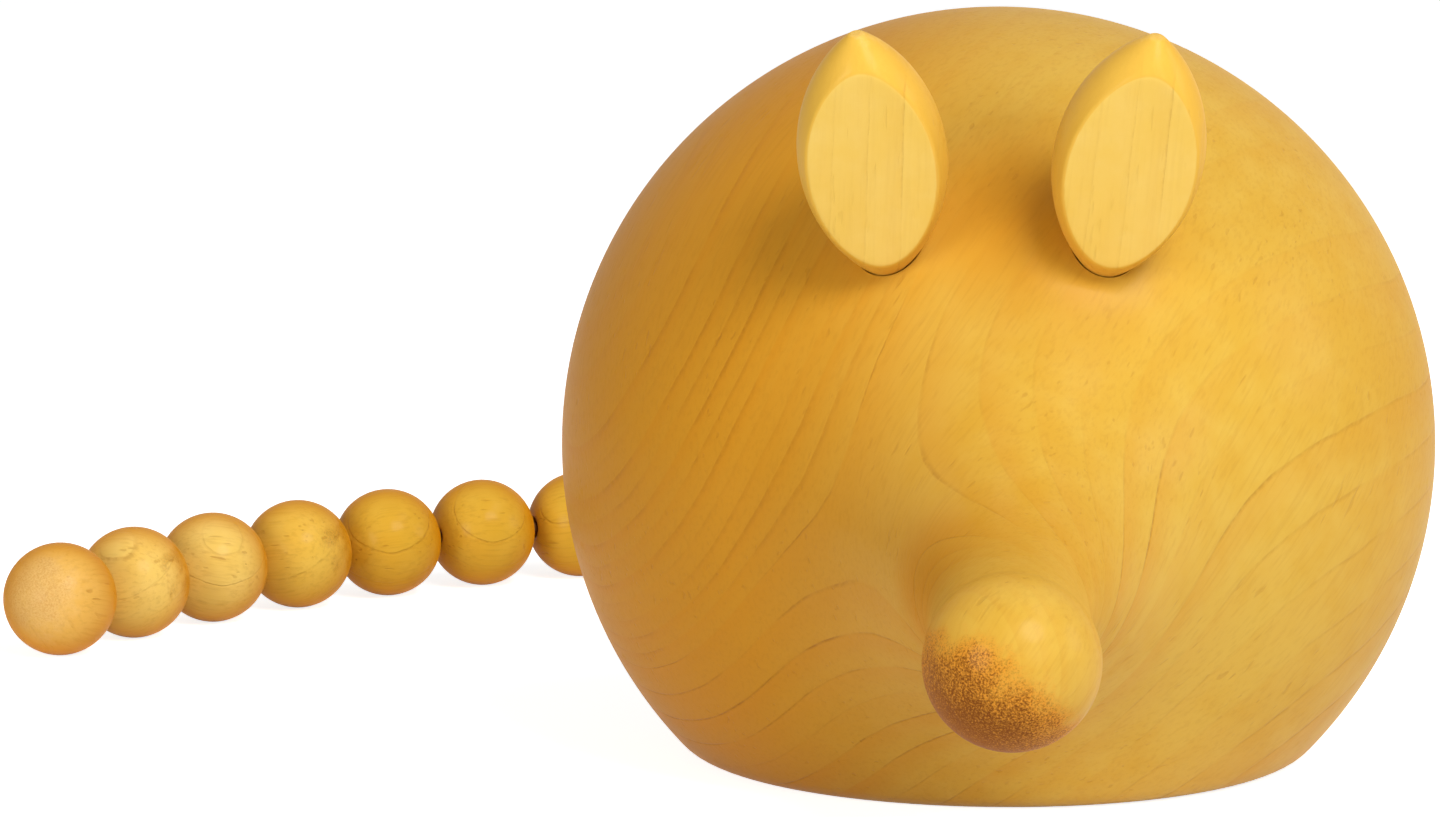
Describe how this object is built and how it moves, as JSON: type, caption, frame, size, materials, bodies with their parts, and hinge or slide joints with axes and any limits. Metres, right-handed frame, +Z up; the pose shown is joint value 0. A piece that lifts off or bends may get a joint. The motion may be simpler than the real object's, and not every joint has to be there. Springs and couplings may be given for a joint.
{
  "type": "wooden rat figurine",
  "caption": "Free-standing turned wooden rat with a ball body, a coved snout with a round nose, flat-faced spindle ears and a curled tail of wooden balls on a cord.",
  "frame": {"origin": "the point of the flat base under the middle of the ball body", "axes": "+Z up, -Y the way the snout points, +X the animal's left"},
  "size_m": [0.1462, 0.1959, 0.0729],
  "materials": {
    "body_wood": "amber-yellow lacquered hardwood, satin, with fine growth-ring lines",
    "ear_wood": "pale lacquered hardwood, satin, with a flat planed face",
    "tail_wood": "lacquered hardwood balls, satin, each with its own grain direction and shade",
    "cord": "dark twisted cord"
  },
  "bodies": {
    "figure": {"body": "body_wood", "ear_left": "ear_wood", "ear_right": "ear_wood", "tail_cord_root": "cord"},
    "tail_bend_01": {"tail_bend_01": "cord"},
    "tail_link_01": {"tail_ball_01": "tail_wood", "tail_cord_01": "cord"},
    "tail_bend_02": {"tail_bend_02": "cord"},
    "tail_link_02": {"tail_ball_02": "tail_wood", "tail_cord_02": "cord"},
    "tail_bend_03": {"tail_bend_03": "cord"},
    "tail_link_03": {"tail_ball_03": "tail_wood", "tail_cord_03": "cord"},
    "tail_bend_04": {"tail_bend_04": "cord"},
    "tail_link_04": {"tail_ball_04": "tail_wood", "tail_cord_04": "cord"},
    "tail_bend_05": {"tail_bend_05": "cord"},
    "tail_link_05": {"tail_ball_05": "tail_wood", "tail_cord_05": "cord"},
    "tail_bend_06": {"tail_bend_06": "cord"},
    "tail_link_06": {"tail_ball_06": "tail_wood", "tail_cord_06": "cord"},
    "tail_bend_07": {"tail_bend_07": "cord"},
    "tail_link_07": {"tail_ball_07": "tail_wood", "tail_cord_07": "cord"},
    "tail_bend_08": {"tail_bend_08": "cord"},
    "tail_link_08": {"tail_ball_08": "tail_wood", "tail_cord_08": "cord"},
    "tail_bend_09": {"tail_bend_09": "cord"},
    "tail_link_09": {"tail_ball_09": "tail_wood", "tail_cord_09": "cord"},
    "tail_bend_10": {"tail_bend_10": "cord"},
    "tail_link_10": {"tail_ball_10": "tail_wood", "tail_cord_10": "cord"},
    "tail_bend_11": {"tail_bend_11": "cord"},
    "tail_link_11": {"tail_ball_11": "tail_wood", "tail_cord_11": "cord"},
    "tail_bend_12": {"tail_bend_12": "cord"},
    "tail_link_12": {"tail_ball_12": "tail_wood", "tail_cord_12": "cord"},
    "tail_bend_13": {"tail_bend_13": "cord"},
    "tail_link_13": {"tail_ball_13": "tail_wood", "tail_cord_13": "cord"},
    "tail_bend_14": {"tail_bend_14": "cord"},
    "tail_link_14": {"tail_ball_14": "tail_wood", "tail_cord_14": "cord"},
    "tail_bend_15": {"tail_bend_15": "cord"},
    "tail_link_15": {"tail_ball_15": "tail_wood", "tail_cord_15": "cord"}
  },
  "joints": [
    {"name": "tail_turn_01", "type": "hinge", "parent": "figure", "child": "tail_bend_01", "pos_m": [0, 0.03687, 0.006], "axis": [0, 0, -1], "range_deg": [-4, 16]},
    {"name": "tail_lift_01", "type": "hinge", "parent": "tail_bend_01", "child": "tail_link_01", "pos_m": [0, 0.03687, 0.006], "axis": [0.9659, -0.2588, 0], "range_deg": [0, 2]},
    {"name": "tail_turn_02", "type": "hinge", "parent": "tail_link_01", "child": "tail_bend_02", "pos_m": [0.00323, 0.04891, 0.006], "axis": [0, 0, -1], "range_deg": [-4, 16]},
    {"name": "tail_lift_02", "type": "hinge", "parent": "tail_bend_02", "child": "tail_link_02", "pos_m": [0.00323, 0.04891, 0.006], "axis": [0.9659, -0.2588, 0], "range_deg": [0, 2]},
    {"name": "tail_turn_03", "type": "hinge", "parent": "tail_link_02", "child": "tail_bend_03", "pos_m": [0.00646, 0.06096, 0.006], "axis": [0, 0, -1], "range_deg": [-4, 16]},
    {"name": "tail_lift_03", "type": "hinge", "parent": "tail_bend_03", "child": "tail_link_03", "pos_m": [0.00646, 0.06096, 0.006], "axis": [0.9998, -0.0175, 0], "range_deg": [0, 2]},
    {"name": "tail_turn_04", "type": "hinge", "parent": "tail_link_03", "child": "tail_bend_04", "pos_m": [0.00667, 0.07343, 0.006], "axis": [0, 0, -1], "range_deg": [-4, 16]},
    {"name": "tail_lift_04", "type": "hinge", "parent": "tail_bend_04", "child": "tail_link_04", "pos_m": [0.00667, 0.07343, 0.006], "axis": [0.9455, 0.3256, 0], "range_deg": [0, 7]},
    {"name": "tail_turn_05", "type": "hinge", "parent": "tail_link_04", "child": "tail_bend_05", "pos_m": [0.00261, 0.08522, 0.006], "axis": [0, 0, -1], "range_deg": [-4, 16]},
    {"name": "tail_lift_05", "type": "hinge", "parent": "tail_bend_05", "child": "tail_link_05", "pos_m": [0.00261, 0.08522, 0.006], "axis": [0.7771, 0.6293, 0], "range_deg": [0, 7]},
    {"name": "tail_turn_06", "type": "hinge", "parent": "tail_link_05", "child": "tail_bend_06", "pos_m": [-0.00524, 0.09491, 0.006], "axis": [0, 0, -1], "range_deg": [-4, 16]},
    {"name": "tail_lift_06", "type": "hinge", "parent": "tail_bend_06", "child": "tail_link_06", "pos_m": [-0.00524, 0.09491, 0.006], "axis": [0.515, 0.8572, 0], "range_deg": [0, 7]},
    {"name": "tail_turn_07", "type": "hinge", "parent": "tail_link_06", "child": "tail_bend_07", "pos_m": [-0.01592, 0.10133, 0.006], "axis": [0, 0, -1], "range_deg": [-4, 16]},
    {"name": "tail_lift_07", "type": "hinge", "parent": "tail_bend_07", "child": "tail_link_07", "pos_m": [-0.01592, 0.10133, 0.006], "axis": [0.1908, 0.9816, 0], "range_deg": [0, 7]},
    {"name": "tail_turn_08", "type": "hinge", "parent": "tail_link_07", "child": "tail_bend_08", "pos_m": [-0.02817, 0.10371, 0.006], "axis": [0, 0, -1], "range_deg": [-4, 16]},
    {"name": "tail_lift_08", "type": "hinge", "parent": "tail_bend_08", "child": "tail_link_08", "pos_m": [-0.02817, 0.10371, 0.006], "axis": [-0.1564, 0.9877, 0], "range_deg": [0, 7]},
    {"name": "tail_turn_09", "type": "hinge", "parent": "tail_link_08", "child": "tail_bend_09", "pos_m": [-0.04048, 0.10176, 0.006], "axis": [0, 0, -1], "range_deg": [-4, 16]},
    {"name": "tail_lift_09", "type": "hinge", "parent": "tail_bend_09", "child": "tail_link_09", "pos_m": [-0.04048, 0.10176, 0.006], "axis": [-0.454, 0.891, 0], "range_deg": [0, 7]},
    {"name": "tail_turn_10", "type": "hinge", "parent": "tail_link_09", "child": "tail_bend_10", "pos_m": [-0.05159, 0.0961, 0.006], "axis": [0, 0, -1], "range_deg": [-4, 16]},
    {"name": "tail_lift_10", "type": "hinge", "parent": "tail_bend_10", "child": "tail_link_10", "pos_m": [-0.05159, 0.0961, 0.006], "axis": [-0.5446, 0.8387, 0], "range_deg": [0, 7]},
    {"name": "tail_turn_11", "type": "hinge", "parent": "tail_link_10", "child": "tail_bend_11", "pos_m": [-0.06205, 0.08931, 0.006], "axis": [0, 0, -1], "range_deg": [-4, 16]},
    {"name": "tail_lift_11", "type": "hinge", "parent": "tail_bend_11", "child": "tail_link_11", "pos_m": [-0.06205, 0.08931, 0.006], "axis": [-0.6293, 0.7771, 0], "range_deg": [0, 7]},
    {"name": "tail_turn_12", "type": "hinge", "parent": "tail_link_11", "child": "tail_bend_12", "pos_m": [-0.07174, 0.08146, 0.006], "axis": [0, 0, -1], "range_deg": [-4, 16]},
    {"name": "tail_lift_12", "type": "hinge", "parent": "tail_bend_12", "child": "tail_link_12", "pos_m": [-0.07174, 0.08146, 0.006], "axis": [-0.7071, 0.7071, 0], "range_deg": [0, 7]},
    {"name": "tail_turn_13", "type": "hinge", "parent": "tail_link_12", "child": "tail_bend_13", "pos_m": [-0.08056, 0.07264, 0.006], "axis": [0, 0, -1], "range_deg": [-4, 16]},
    {"name": "tail_lift_13", "type": "hinge", "parent": "tail_bend_13", "child": "tail_link_13", "pos_m": [-0.08056, 0.07264, 0.006], "axis": [-0.7771, 0.6293, 0], "range_deg": [0, 7]},
    {"name": "tail_turn_14", "type": "hinge", "parent": "tail_link_13", "child": "tail_bend_14", "pos_m": [-0.08841, 0.06295, 0.006], "axis": [0, 0, -1], "range_deg": [-4, 16]},
    {"name": "tail_lift_14", "type": "hinge", "parent": "tail_bend_14", "child": "tail_link_14", "pos_m": [-0.08841, 0.06295, 0.006], "axis": [-0.8387, 0.5446, 0], "range_deg": [0, 7]},
    {"name": "tail_turn_15", "type": "hinge", "parent": "tail_link_14", "child": "tail_bend_15", "pos_m": [-0.0952, 0.05249, 0.006], "axis": [0, 0, -1], "range_deg": [-4, 16]},
    {"name": "tail_lift_15", "type": "hinge", "parent": "tail_bend_15", "child": "tail_link_15", "pos_m": [-0.0952, 0.05249, 0.006], "axis": [-0.8746, 0.4848, 0], "range_deg": [0, 7]}
  ]
}
